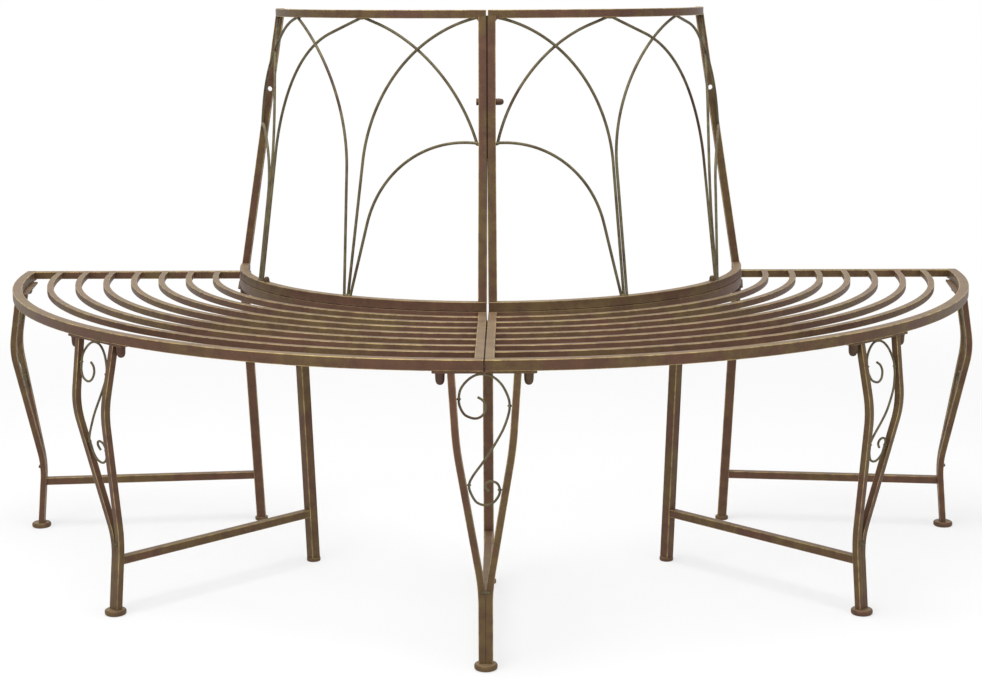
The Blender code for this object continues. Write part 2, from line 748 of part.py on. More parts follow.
leg_meshes = {
    "front_leg": (front_leg(), leg_paint),
    "leg_scroll": (scroll(), wire_paint),
    "rear_leg": (rear_leg(), leg_paint),
    "front_foot": (
        moved(disc(foot_radius, foot_height, foot_edge, 20), (0, -leg_radius(0), 0)),
        foot_paint,
    ),
    "rear_cap": (
        moved(disc(rear_cap_radius, rear_cap_height, rear_cap_edge, 16), (0, -rear_leg_radius(0), 0)),
        foot_paint,
    ),
}
stud_hole_radius = bolt_diameter / 2 + bolt_hole_clearance / 2
stud_hole_top = -stud_depth - contact_gap
stud_hole = (0, stud_hole_top), (stud_hole_radius, stud_hole_top), (stud_hole_radius, 0)
nut_mesh = domed_nut(dome_nut_radius, dome_nut_height, stud_hole)
nut_level = Vector((0, 0, plate_bottom - contact_gap))
for side, offset in (("a", -stud_spread), ("b", stud_spread)):
    hung_nut = moved(nut_mesh, stud_place(offset, outer_rail_radius) + nut_level)
    leg_meshes[f"dome_nut_{side}"] = hung_nut, nut_paint
for leg, turn in leg_turns.items():
    for piece, (mesh, paint) in leg_meshes.items():
        place(f"{piece}_{leg}", mesh, paint, turn)
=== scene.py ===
import math

import bmesh
import bpy
import numpy as np
from mathutils import Euler, Matrix, Vector


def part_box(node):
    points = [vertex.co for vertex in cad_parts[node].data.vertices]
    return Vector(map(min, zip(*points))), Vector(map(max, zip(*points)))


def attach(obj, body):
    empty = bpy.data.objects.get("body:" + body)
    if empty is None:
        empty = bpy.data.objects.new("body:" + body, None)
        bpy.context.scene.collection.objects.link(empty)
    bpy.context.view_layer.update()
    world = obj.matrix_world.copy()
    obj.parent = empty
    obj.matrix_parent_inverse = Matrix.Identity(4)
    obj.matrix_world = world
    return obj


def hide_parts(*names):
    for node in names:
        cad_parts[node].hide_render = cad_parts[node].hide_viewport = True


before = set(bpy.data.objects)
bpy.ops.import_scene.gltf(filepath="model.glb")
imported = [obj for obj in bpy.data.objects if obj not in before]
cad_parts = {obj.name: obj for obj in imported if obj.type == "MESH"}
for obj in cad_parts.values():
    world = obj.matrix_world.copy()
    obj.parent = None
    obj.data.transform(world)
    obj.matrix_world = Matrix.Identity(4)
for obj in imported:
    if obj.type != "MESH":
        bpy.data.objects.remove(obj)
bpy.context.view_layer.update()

# The studio. The bench stands on a plain pale floor that runs far past the picture, under soft lamps,
# and is seen from a little above its seat.
axis_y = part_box("seat_frame_right")[1].y  # the tree's axis lies in the plane of the open back


def feed(tree, node, inputs):
    """Sets a node's inputs to values, or links sockets to them."""
    for name, value in inputs.items():
        if isinstance(value, bpy.types.NodeSocket):
            tree.links.new(value, node.inputs[name])
        else:
            node.inputs[name].default_value = value


def add(tree, kind, inputs=None, **settings):
    """A new node in a tree."""
    node = tree.nodes.new(kind)
    for name, value in settings.items():
        setattr(node, name, value)
    feed(tree, node, inputs or {})
    return node


def got(tree, kind, inputs=None, **settings):
    """The first output of a new node."""
    return add(tree, kind, inputs, **settings).outputs[0]


def geo(tree, kind, inputs=None, **settings):
    """The first output of a new geometry node."""
    return got(tree, "GeometryNode" + kind, inputs, **settings)


def calc(tree, operation, *values):
    """A sum on numbers or sockets."""
    return got(tree, "ShaderNodeMath", dict(enumerate(values)), operation=operation)


def ramp(tree, value, low, high, to_low=0.0, to_high=1.0):
    """A value eased from one range to another, and held at its ends."""
    stretch = {"Value": value, "From Min": low, "From Max": high, "To Min": to_low, "To Max": to_high}
    return got(tree, "ShaderNodeMapRange", stretch, interpolation_type="SMOOTHSTEP")


def seen_directly(tree):
    """1 where a surface is looked at, and 0 where light only bounces off it."""
    path = add(tree, "ShaderNodeLightPath").outputs
    seen = calc(tree, "MAXIMUM", path["Is Camera Ray"], path["Is Glossy Ray"])
    return calc(tree, "MAXIMUM", seen, path["Is Transmission Ray"])


def linked(name, data):
    """A new object in the scene."""
    thing = bpy.data.objects.new(name, data)
    bpy.context.scene.collection.objects.link(thing)
    return thing


def as_mesh(name, bm):
    """What was built in bm, as a mesh."""
    mesh = bpy.data.meshes.new(name)
    bm.to_mesh(mesh)
    bm.free()
    return mesh


def empty_tree(owner):
    """An emptied shader tree."""
    owner.use_nodes = True
    owner.node_tree.nodes.clear()
    return owner.node_tree


floor_size = 90.0
shadow_reach = 1.2  # from the middle of the bench
white_from = 3.0
near_white_share = 0.62  # within the shadow's reach; the floor is plain white further off
bm = bmesh.new()
bmesh.ops.create_grid(bm, x_segments=2, y_segments=2, size=floor_size / 2)
floor = linked("studio_floor", as_mesh("studio_floor", bm))
floor_paint = bpy.data.materials.new("pale_floor")
nodes = empty_tree(floor_paint)
matt = got(nodes, "ShaderNodeBsdfDiffuse", {"Color": (0.86, 0.86, 0.86, 1)})
glow = got(nodes, "ShaderNodeEmission", {"Color": (1, 1, 1, 1), "Strength": 1.0})
floor_place = add(nodes, "ShaderNodeTexCoord").outputs["Object"]
from_middle = add(nodes, "ShaderNodeVectorMath", {0: floor_place}, operation="LENGTH").outputs["Value"]
white_share = ramp(nodes, from_middle, shadow_reach, white_from, near_white_share)
share = calc(nodes, "MULTIPLY", seen_directly(nodes), white_share)
floor_mix = got(nodes, "ShaderNodeMixShader", {0: share, 1: matt, 2: glow})
add(nodes, "ShaderNodeOutputMaterial", {"Surface": floor_mix})
floor.data.materials.append(floor_paint)

studio = bpy.data.worlds.new("studio")
nodes = empty_tree(studio)
room_light = 0.36
strength = calc(nodes, "MULTIPLY_ADD", seen_directly(nodes), 1 - room_light, room_light)
sky = got(nodes, "ShaderNodeBackground", {"Color": (1, 1, 1, 1), "Strength": strength})
add(nodes, "ShaderNodeOutputWorld", {"Surface": sky})
bpy.context.scene.world = studio
bench_centre = Vector((0, 0, 0.4))
for name, place, size, power in (
    ("overhead", (-0.4, -0.6, 4.2), 2.6, 175),
    ("front_left", (-2.8, -3.4, 1.9), 2.2, 46),
    ("front_right", (3.0, -3.0, 1.6), 2.2, 32),
):
    light = bpy.data.lights.new(name, "AREA")
    light.shape = "SQUARE"
    light.size = size
    light.energy = power
    lamp = linked(name, light)
    lamp.location = place
    aim = bench_centre - lamp.location
    lamp.rotation_euler = aim.to_track_quat("-Z", "Y").to_euler()

# The camera was solved from the curves of the seat, the posts and the feet in the photograph.
camera_yaw, camera_pitch, camera_roll = math.radians(-0.632), math.radians(10.623), math.radians(-0.2427)
camera_across, camera_distance, camera_height = 0.0356, 3.2126, 0.9097
focal_pixels = 1882.84
picture_pixels = 982
camera_data = bpy.data.cameras.new("camera")
camera_data.sensor_width = 36
camera_data.lens = focal_pixels * camera_data.sensor_width / picture_pixels
camera = linked("camera", camera_data)
look = Euler((math.pi / 2 - camera_pitch, 0, -camera_yaw)).to_matrix() @ Matrix.Rotation(camera_roll, 3, "Z")
camera_place = Matrix.Translation((camera_across, axis_y - camera_distance, camera_height))
camera.matrix_world = camera_place @ look.to_4x4()
bpy.context.scene.camera = camera
bpy.context.scene.view_settings.view_transform = "Standard"


# Curved seat rails. Two rings of 15.5 mm square steel tube carry the seat, at its front edge and round the
# tree. They are rolled to their radius, cut at the joint between the halves, welded up and painted antique
# bronze, which is rubbed through to brass on the corners.


def add_inputs(tree, inputs):
    """Gives a node group its inputs. One without a value is called after its kind."""
    kinds = {float: "Float", int: "Int", tuple: "Color"}
    for label, value in inputs.items():
        kind = kinds.get(type(value), label)
        socket = tree.interface.new_socket(label, in_out="INPUT", socket_type="NodeSocket" + kind)
        if value is not None:
            socket.default_value = value


def new_tree(name, inputs):
    """A Geometry Nodes tree, its inputs and its output."""
    tree = bpy.data.node_groups.new(name, "GeometryNodeTree")
    tree.interface.new_socket("Geometry", in_out="INPUT", socket_type="NodeSocketGeometry")
    tree.interface.new_socket("Geometry", in_out="OUTPUT", socket_type="NodeSocketGeometry")
    add_inputs(tree, inputs)
    given = tree.nodes.new("NodeGroupInput").outputs
    return tree, given, tree.nodes.new("NodeGroupOutput").inputs[0]


corner_steps = 3
sharp_angle = math.radians(50)  # an edge that turns further than this is shaded sharp


def square_section(tree, size, corner):
    """A square tube's section. Its points remember their places in it."""
    square = geo(tree, "CurvePrimitiveQuadrilateral", {"Width": size, "Height": size})
    corners = {"Curve": square, "Count": corner_steps, "Radius": corner}
    rounded = geo(tree, "FilletCurve", corners, mode="POLY")
    inverse = calc(tree, "DIVIDE", 1.0, calc(tree, "MULTIPLY", size, 0.5))
    place = geo(tree, "InputPosition")
    share = got(tree, "ShaderNodeVectorMath", {0: place, "Scale": inverse}, operation="SCALE")
    kept = {"Geometry": rounded, "Name": "section", "Value": share}
    return geo(tree, "StoreNamedAttribute", kept, data_type="FLOAT_VECTOR", domain="POINT")


def swept(tree, path, section):
    """A section swept along a path, with closed ends and sharp edges."""
    length = add(tree, "GeometryNodeSplineParameter").outputs["Length"]
    # Without a second attribute the posts lose their section when they are drilled.
    kept = {"Geometry": path, "Name": "along", "Value": length}
    marked = geo(tree, "StoreNamedAttribute", kept, data_type="FLOAT", domain="POINT")
    sweep = {"Curve": marked, "Profile Curve": section, "Fill Caps": True}
    skin = geo(tree, "CurveToMesh", sweep)
    smooth = geo(tree, "SetShadeSmooth", {"Geometry": skin}, domain="FACE")
    angle = add(tree, "GeometryNodeInputMeshEdgeAngle").outputs["Unsigned Angle"]
    sharp = calc(tree, "GREATER_THAN", angle, sharp_angle)
    edges = {"Geometry": smooth, "Selection": sharp, "Shade Smooth": False}
    return geo(tree, "SetShadeSmooth", edges, domain="EDGE")


def end_tree(tree, geometry, material, output):
    """Real geometry in its own paint, for a tree's output."""
    real = geo(tree, "RealizeInstances", {"Geometry": geometry})
    painted = geo(tree, "SetMaterial", {"Geometry": real, "Material": material})
    tree.links.new(painted, output)


arc_inputs = {"First Radius": 0.5, "Pitch": 0.0, "Count": 1, "Height": 0.4, "Bar Size": 0.015}
arc_inputs |= {"Corner Radius": 0.001, "From Middle": 0.0, "From Back": 0.0, "Back Plane": 0.0}
arcs, given, out = new_tree("curved bars", arc_inputs | {"Steps": 90, "Material": None})
line = geo(arcs, "CurvePrimitiveLine")
fine = geo(arcs, "ResampleCurve", {"Curve": line, "Count": given["Steps"]})
repeated = {"Geometry": fine, "Amount": given["Count"]}
copies = add(arcs, "GeometryNodeDuplicateElements", repeated, domain="SPLINE")
ring = calc(arcs, "MULTIPLY_ADD", copies.outputs[1], given["Pitch"], given["First Radius"])
first = calc(arcs, "ARCSINE", calc(arcs, "DIVIDE", given["From Middle"], ring))
last = calc(arcs, "ARCCOSINE", calc(arcs, "DIVIDE", given["From Back"], ring))
factor = add(arcs, "GeometryNodeSplineParameter").outputs["Factor"]
angle = calc(arcs, "MULTIPLY_ADD", factor, calc(arcs, "SUBTRACT", last, first), first)
across = calc(arcs, "MULTIPLY", ring, calc(arcs, "SINE", angle))
forward = calc(arcs, "MULTIPLY", ring, calc(arcs, "COSINE", angle))
away = calc(arcs, "SUBTRACT", given["Back Plane"], forward)
bend = got(arcs, "ShaderNodeCombineXYZ", {"X": across, "Y": away, "Z": given["Height"]})
bent = geo(arcs, "SetPosition", {"Geometry": copies.outputs[0], "Position": bend})
right = swept(arcs, bent, square_section(arcs, given["Bar Size"], given["Corner Radius"]))
mirrored = geo(arcs, "Transform", {"Geometry": right, "Scale": (-1, 1, 1)})
left = geo(arcs, "FlipFaces", {"Mesh": mirrored})
join = arcs.nodes.new("GeometryNodeJoinGeometry")
for half in (right, left):
    arcs.links.new(half, join.inputs[0])
end_tree(arcs, join.outputs[0], given["Material"], out)


def applied(thing):
    """The mesh that an object's modifiers make of it."""
    graph = bpy.context.evaluated_depsgraph_get()
    return bpy.data.meshes.new_from_object(
        thing.evaluated_get(graph), preserve_all_data_layers=True, depsgraph=graph
    )


def made(name, tree, paint, values, start=None):
    """The plain mesh that a tree makes of its values, as a new object."""
    values = {"Material": paint, **values}
    maker = linked(name, start or bpy.data.meshes.new(name))
    modifier = maker.modifiers.new("tree", "NODES")
    modifier.node_group = tree
    for item in tree.interface.items_tree:
        if item.in_out == "INPUT" and item.name in values:
            modifier[item.identifier] = values[item.name]
    even = maker.modifiers.new("even normals", "WEIGHTED_NORMAL")
    even.keep_sharp = True
    mesh = applied(maker)
    bpy.data.objects.remove(maker)
    return linked(name, mesh)


def curved(name, radius, height, size, corner, from_middle, steps, paint, more=None):
    """Curved bars in both halves, from the middle joint to the plane of the open back."""
    values = {"First Radius": radius, "Height": height, "Bar Size": size, "Corner Radius": corner}
    values |= {"From Middle": from_middle, "Back Plane": axis_y, "Steps": steps}
    return made(name, arcs, paint, values | (more or {}))


def fitted(piece, slot, *nodes):
    """Fixes a piece to the bench in place of its solids."""
    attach(piece, "root")
    if nodes:
        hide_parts(*nodes)


def colour(red, green, blue):
    """A matched colour, given from 0 to 255, as the linear value that a shader takes."""
    return tuple(((c / 255 + 0.055) / 1.055) ** 2.4 for c in (red, green, blue)) + (1.0,)


# The paint of every piece: brown bronze, clouded with olive and rubbed through to brass on corners. Level
# tops are painted a paler tan, a painted highlight of the light from above, and the gap between the two
# halves is painted dark, a painted shade.
bronze = bpy.data.node_groups.new("aged bronze with painted light", "ShaderNodeTree")
paint_colours = {"Bronze": colour(93, 66, 51), "Olive": colour(96, 77, 50)}
paint_colours |= {"Brass": colour(188, 164, 110), "Tan": colour(149, 129, 99)}
paint_shares = {"Olive Share": 0.45, "Rub": 0.5, "Top Rub": 0.6, "Joint Dark": 0.0, "Corner": 0.0}
add_inputs(bronze, paint_colours | paint_shares)
for label, kind in (("Color", "Color"), ("Roughness", "Float"), ("Height", "Float")):
    bronze.interface.new_socket(label, in_out="OUTPUT", socket_type="NodeSocket" + kind)
paint_in = bronze.nodes.new("NodeGroupInput").outputs
paint_out = bronze.nodes.new("NodeGroupOutput").inputs
coordinates = add(bronze, "ShaderNodeTexCoord").outputs
place = coordinates["Object"]


def noise(scale, detail, roughness, distortion=0.0):
    """A cloudy pattern in the paint, from 0 to 1."""
    pattern = {"Vector": place, "Scale": scale, "Detail": detail, "Roughness": roughness}
    pattern["Distortion"] = distortion
    return add(bronze, "ShaderNodeTexNoise", pattern).outputs["Fac"]


def eased(value, *ends):
    """A ramp in the paint's tree."""
    return ramp(bronze, value, *ends)


def product(first, *others):
    """Values multiplied together in the paint's tree."""
    for value in others:
        first = calc(bronze, "MULTIPLY", first, value)
    return first


def mixed(share, first, second, blend="MIX"):
    """A share of the second colour over the first."""
    colours = {0: share, 6: first, 7: second}
    return add(bronze, "ShaderNodeMix", colours, data_type="RGBA", blend_type=blend).outputs[2]


clouds = noise(6.5, 5, 0.62, 0.6)
mottle = noise(48, 6, 0.66, 0.3)
grain = noise(520, 3, 0.6)
no_olive_level = 0.67  # of the clouds, above which the paint turns olive where its olive share is nothing
olive_level_fall = -0.34  # from there to an olive share of one
olive_softness = 0.09
olive_edge = calc(bronze, "MULTIPLY_ADD", paint_in["Olive Share"], olive_level_fall, no_olive_level)
olive = eased(clouds, calc(bronze, "SUBTRACT", olive_edge, olive_softness), olive_edge)
olive = product(olive, eased(mottle, 0.30, 0.62, 0.35, 1.0))
body = mixed(olive, paint_in["Bronze"], paint_in["Olive"])
shade = product(eased(mottle, 0.28, 0.74, 0.82, 1.14), eased(grain, 0.25, 0.75, 0.93, 1.07))
tone = got(bronze, "ShaderNodeCombineColor", {0: shade, 1: shade, 2: shade})
body = mixed(1.0, body, tone, "MULTIPLY")
speck_strength = 0.35
specks = product(eased(grain, 0.66, 0.78), eased(mottle, 0.52, 0.7), speck_strength)
worn = product(paint_in["Corner"], eased(mottle, 0.34, 0.66, 0.25, 1.0), paint_in["Rub"])
worn = calc(bronze, "MINIMUM", calc(bronze, "ADD", worn, specks), 1.0)
# Level tops get a paler tan: a painted highlight where the light from above falls on them.
upward = add(bronze, "ShaderNodeSeparateXYZ", {0: coordinates["Normal"]}).outputs[2]
painted_top_sheen = product(eased(upward, 0.80, 0.98), paint_in["Top Rub"], eased(mottle, 0.30, 0.60, 0.6, 1.0))
paint_with_painted_light = mixed(painted_top_sheen, body, paint_in["Tan"])
paint_with_painted_light = mixed(worn, paint_with_painted_light, paint_in["Brass"])
# The gap between the two halves is painted dark: painted shade where their faces look at each other.
gap_half_width, gap_edge = 0.0006, 0.0019  # from the bench's middle plane
joint_shade_colour = colour(34, 22, 14)
from_joint = calc(bronze, "ABSOLUTE", add(bronze, "ShaderNodeSeparateXYZ", {0: place}).outputs[0])
painted_joint_shade = product(eased(from_joint, gap_half_width, gap_edge, 1.0, 0.0), paint_in["Joint Dark"])
paint_with_painted_light = mixed(painted_joint_shade, paint_with_painted_light, joint_shade_colour)
least_rough, mottle_rough, brass_polish, grain_height = 0.38, 0.24, -0.07, 0.5
rough = calc(bronze, "MULTIPLY_ADD", mottle, mottle_rough, least_rough)
rough = calc(bronze, "MULTIPLY_ADD", worn, brass_polish, rough)
relief = calc(bronze, "MULTIPLY_ADD", grain, grain_height, mottle)
for socket, value in zip(paint_out, (paint_with_painted_light, rough, relief)):
    bronze.links.new(value, socket)

# Where a tube's corner is rubbed: from the place in its section that each point of its skin remembers.
corner_wear = bpy.data.node_groups.new("corner wear", "ShaderNodeTree")
add_inputs(corner_wear, {"Width": 0.2})
wear_softness = 0.12
corner_wear.interface.new_socket("Corner", in_out="OUTPUT", socket_type="NodeSocketFloat")
wear_in = corner_wear.nodes.new("NodeGroupInput").outputs
section_place = add(corner_wear, "ShaderNodeAttribute", attribute_name="section").outputs["Vector"]
parts = add(corner_wear, "ShaderNodeSeparateXYZ", {0: section_place}).outputs
sides = [calc(corner_wear, "ABSOLUTE", parts[axis]) for axis in (0, 1)]
near_corner = calc(corner_wear, "MINIMUM", *sides)
begin = calc(corner_wear, "SUBTRACT", 1.0, wear_in["Width"])
finish_at = calc(corner_wear, "ADD", begin, wear_softness)
corner_out = corner_wear.nodes.new("NodeGroupOutput").inputs[0]
corner_wear.links.new(ramp(corner_wear, near_corner, begin, finish_at), corner_out)


paint_relief = 0.00012


def bronze_paint(name, corner_width, values, metallic=0.30):
    """A piece's own mix of the paint, over steel."""
    paint = bpy.data.materials.new(name)
    paint.use_nodes = True
    tree = paint.node_tree
    wear = got(tree, "ShaderNodeGroup", {"Width": corner_width}, node_tree=corner_wear)
    mix = add(tree, "ShaderNodeGroup", {**values, "Corner": wear}, node_tree=bronze).outputs
    bumps = {"Strength": 0.5, "Distance": paint_relief, "Height": mix["Height"]}
    surface = {"Base Color": mix["Color"], "Roughness": mix["Roughness"], "Metallic": metallic}
    surface |= {"Specular IOR Level": 0.25, "Normal": got(tree, "ShaderNodeBump", bumps)}
    feed(tree, tree.nodes["Principled BSDF"], surface)
    return paint


seat_frames = ("seat_frame_left", "seat_frame_right")
rail_size = 0.0155
rail_corner = 0.0011
seat_height = 0.432
outer_radius = 0.79225
inner_radius = 0.42125
half_gap = 0.0015
seat_pulled_in = 0.0009  # the joint closes towards the front rail
rail_paint = bronze_paint("rail_bronze_paint", 0.19, {"Olive Share": 0.40, "Rub": 0.95, "Joint Dark": 1.0})
front_values = {"Olive Share": 0.4, "Rub": 0.95, "Top Rub": 0.42, "Joint Dark": 1.0}
front_paint = bronze_paint("outer_rail_bronze_paint", 0.19, front_values)
# The inner rail stands in shade under the base rail, so it takes a darker copy of the paint, with little
# corner rub and top sheen: painted shade.
shaded_values = {"Olive Share": 0.30, "Rub": 0.12, "Top Rub": 0.1}
shaded_paint = bronze_paint("inner_rail_shaded_bronze_paint", 0.17, shaded_values)
for name, radius, paint, pulled in (
    ("outer_rails", outer_radius, front_paint, seat_pulled_in),
    ("inner_rails", inner_radius, shaded_paint, 0),
):
    joint = half_gap - pulled
    rails = curved(name, radius, seat_height - rail_size / 2, rail_size, rail_corner, joint, 120, paint)
    fitted(rails, "rail_bronze", *seat_frames)


# Straight seat rails. Two lengths of 12.5 mm square tube close each half between its rings, along the middle
# joint and along the open back. They are welded flush with the rings and the slats.
square_tubes, given, out = new_tree(
    "square tubes along paths", {"Tube Size": 0.01, "Corner Radius": 0.001, "Material": None}
)
paths = add(square_tubes, "GeometryNodeMeshToCurve", {"Mesh": given["Geometry"]})
upright = geo(square_tubes, "SetCurveNormal", {"Curve": paths.outputs[0]}, mode="Z_UP")
section = square_section(square_tubes, given["Tube Size"], given["Corner Radius"])
end_tree(square_tubes, swept(square_tubes, upright, section), given["Material"], out)


def path_mesh(*paths):
    """Lines of points that a tree sweeps a tube along."""
    mesh = bpy.data.meshes.new("paths")
    points = [point for path in paths for point in path]
    starts = set(np.cumsum([len(path) for path in paths]))
    edges = [(index - 1, index) for index in range(1, len(points)) if index not in starts]
    mesh.from_pydata(points, edges, [])
    return mesh


def both_sides(path):
    """A path of the right half and its mirror image."""
    return path, [(-x, y, z) for x, y, z in path]


def tubes(name, size, corner, paint, *paths):
    """A square tube with rounded corners along each path."""
    return made(name, square_tubes, paint, {"Tube Size": size, "Corner Radius": corner}, path_mesh(*paths))


frame_size = 0.0125
frame_corner = 0.0010
rail_overlap = 0.002  # how far a butted end runs into the tube that it is welded to
frame_height = seat_height - frame_size / 2
front_end = axis_y - outer_radius + rail_size / 2 - rail_overlap
tree_end = axis_y - inner_radius - rail_size / 2 + rail_overlap
bar_middle = half_gap + frame_size / 2
tree_end_share = 0.4  # of what the joint closes by at the front rail
middle_bar = [
    (bar_middle - seat_pulled_in, front_end, frame_height),
    (bar_middle - seat_pulled_in * tree_end_share, tree_end, frame_height),
]
rear_y = axis_y - frame_size / 2
inner_x = inner_radius + rail_size / 2 - rail_overlap
outer_x = outer_radius - rail_size / 2 + rail_overlap
rear_bar = [(inner_x, rear_y, frame_height), (outer_x, rear_y, frame_height)]
seat_bars = (*both_sides(middle_bar), *both_sides(rear_bar))
straight_rails = tubes("straight_rails", frame_size, frame_corner, rail_paint, *seat_bars)
fitted(straight_rails, "rail_bronze", *seat_frames)


# Slats. Seven concentric bars of 10 mm square tube fill each half of the seat, 35 mm apart, with a wider
# opening behind the front rail. They are welded between the two straight rails, with their tops flush.
slats_per_half = 7
bar_size = 0.010
bar_corner = 0.0010
contact_gap = 0.0003
front_opening_share = 1.12
slat_room = outer_radius - inner_radius - rail_size - slats_per_half * bar_size
slat_opening = slat_room / (slats_per_half + front_opening_share)
slat_paint = bronze_paint("slat_bronze_paint", 0.22, {"Olive Share": 0.30, "Rub": 0.75, "Top Rub": 0.45})
first_slat_radius = inner_radius + rail_size / 2 + slat_opening + bar_size / 2
slat_overlap = rail_overlap / 4
slat_middle_end = half_gap + frame_size - slat_overlap
slat_height = seat_height - bar_size / 2
slat_row = {"Pitch": slat_opening + bar_size, "Count": slats_per_half, "From Back": frame_size - slat_overlap}
slat_shape = (first_slat_radius, slat_height, bar_size, bar_corner, slat_middle_end, 90)
slats = curved("seat_slats", *slat_shape, slat_paint, slat_row)
slat_nodes = [f"slat_{side}_{n}" for side in ("left", "right") for n in range(1, slats_per_half + 1)]
fitted(slats, "slat_bronze", *slat_nodes)


# Backrest frames. In each half a base rail stands on the seat's inner rail, a smaller top rail runs over the
# sitter's shoulders, and two leaning posts join them. All are 12.5 mm square tube, butt welded, with a bolt
# hole through the head of each post.
back_frames = ("back_frame_left", "back_frame_right")
bench_height = 0.8775
washer_height = 0.0015
base_rail_bottom = seat_height + contact_gap + washer_height
base_rail_top = base_rail_bottom + frame_size
top_rail_bottom = bench_height - frame_size
top_rail_radius = 0.35105
low = base_rail_bottom + frame_size / 2
high = bench_height - frame_size / 2
# The base rail takes less corner rub, so that its lower corner stays dark over the seat: painted shade.
base_values = {"Olive Share": 0.35, "Rub": 0.5, "Joint Dark": 1.0}
base_paint = bronze_paint("base_rail_bronze_paint", 0.17, base_values)
base_rail_size = 0.0135
base_rail_middle = base_rail_top - base_rail_size / 2
for name, radius, height, size, paint in (
    ("base_rails", inner_radius, base_rail_middle, base_rail_size, base_paint),
    ("top_rails", top_rail_radius, high, frame_size, rail_paint),
):
    rails = curved(name, radius, height, size, frame_corner, half_gap, 90, paint)
    fitted(rails, "rail_bronze", *back_frames)


def lean_radius(height):
    """The radius of the backrest's middle surface, which leans in towards the tree."""
    return inner_radius + (top_rail_radius - inner_radius) * (height - low) / (high - low)


def level(share):
    """A height in the panel, from its share of the room between the rails."""
    return base_rail_top + (top_rail_bottom - base_rail_top) * share


touching_share = 0.56  # of the middle posts' height; they stand apart below it
bend_shares = (0.5, 1, 1.4)  # of the height where they touch, so that the bend there is short


def post_line(place):
    """A post's middle line, from inside its base rail to inside its top rail."""
    heights = [low + (high - low) * touching_share * share for share in bend_shares]
    heights = (low + frame_size / 4, *heights, high - frame_size / 4)
    return [place(lean_radius(height), height) for height in heights]


def turned_mesh(name, profile, steps):
    """A part turned about Z, from a profile that runs down from axis to axis."""
    angles = np.linspace(0, 2 * math.pi, steps, endpoint=False)
    inner = profile[1:-1]
    points = [(0, 0, profile[0][1])]
    points += [(r * math.cos(a), r * math.sin(a), z) for r, z in inner for a in angles]
    points.append((0, 0, profile[-1][1]))
    faces = []
    for index in range(steps):
        here, after = 1 + index, 1 + (index + 1) % steps
        faces.append((0, here, after))
        for _ in inner[1:]:
            faces.append((here, here + steps, after + steps, after))
            here, after = here + steps, after + steps
        faces.append((here, len(points) - 1, after))
    mesh = bpy.data.meshes.new(name)
    mesh.from_pydata(points, [], faces)
    return mesh


def merged(name, meshes):
    """One mesh of several."""
    bm = bmesh.new()
    for mesh in meshes:
        bm.from_mesh(mesh)
    return as_mesh(name, bm)


post_middle = half_gap + frame_size / 2
pulled_in = 0.0013  # the joint bolt draws the upper parts of the two middle posts together
post_oversize = 0.0004


def middle_post_place(radius, height):
    """A point of a middle post's middle line."""
    across = post_middle - pulled_in * min((height - low) / (high - low) / touching_share, 1)
    return across, axis_y - radius, height


middle_post = post_line(middle_post_place)
end_post_y = axis_y - frame_size / 2 - post_oversize / 2
end_post = post_line(lambda radius, height: (radius, end_post_y, height))
post_lines = (*both_sides(middle_post), *both_sides(end_post))
posts = tubes("posts", frame_size + post_oversize, frame_corner, rail_paint, *post_lines)
joint_height_share = 0.71
joint_height = level(joint_height_share)
hole_radius = 0.0042
hole_reach = 2 * frame_size
hole_profile = [(0, hole_reach), (hole_radius, hole_reach), (hole_radius, -hole_reach), (0, -hole_reach)]
holes = []
for side in (-1, 1):
    hole = turned_mesh("hole", hole_profile, 24)
    along_y = Matrix.Rotation(math.pi / 2, 4, "X")
    place = Vector((side * lean_radius(joint_height), axis_y - frame_size / 2, joint_height))
    hole.transform(Matrix.Translation(place) @ along_y)
    holes.append(hole)
drill = linked("drill", merged("drill", holes))
cut = posts.modifiers.new("holes", "BOOLEAN")
cut.operation = "DIFFERENCE"
cut.solver = "EXACT"
cut.object = drill
posts.data = applied(posts)
posts.modifiers.clear()
bpy.data.objects.remove(drill)
fitted(posts, "rail_bronze", *back_frames)


# Backrest arches. Eight 4.5 mm round bars in each half: six rise from the base rail in two bunches, and two
# spring from the posts. They are bent by hand, cross each other, and are welded to the top rail and posts.
round_wires, given, out = new_tree(
    "round wires along paths", {"Wire Radius": 0.0025, "Sides": 14, "Material": None}
)
paths = geo(round_wires, "MeshToCurve", {"Mesh": given["Geometry"]})
round_section = {"Resolution": given["Sides"], "Radius": given["Wire Radius"]}
circle = geo(round_wires, "CurvePrimitiveCircle", round_section)
end_tree(round_wires, swept(round_wires, paths, circle), given["Material"], out)

wire_radius = 0.00225
map_radius = (inner_radius + top_rail_radius) / 2
quarter = math.radians(90)
arc_steps = 40
stem_depth = 0.004  # of a wire's end in the base rail


def on_backrest(along, height, set_back, from_back):
    """A point of the backrest, at a distance round it from the middle or the open back."""
    angle = along / map_radius
    radius = lean_radius(height) - set_back
    across, forward = radius * math.sin(angle), radius * math.cos(angle)
    if from_back:
        across, forward = forward, across
    return across, axis_y - forward, height


def tangent_arc(start, end, lean, slope=None):
    """The arc that leaves its start with this lean and passes through its end.

    With a slope, it turns only as far as that, and runs on straight to the end.
    """
    lean *= quarter
    side = 1 if end[0] > start[0] else -1
    across, rise = side * (end[0] - start[0]), end[1] - start[1]
    last = 2 * math.atan2(across, rise) - lean if slope is None else slope * quarter
    radius = (across * math.cos(last) - rise * math.sin(last)) / (math.cos(last - lean) - 1)
    points = []
    for index in range(arc_steps + 1):
        angle = lean + (last - lean) * index / arc_steps
        along = start[0] + side * radius * (math.cos(lean) - math.cos(angle))
        points.append((along, start[1] + radius * (math.sin(angle) - math.sin(lean))))
    return points if slope is None else [*points, end]


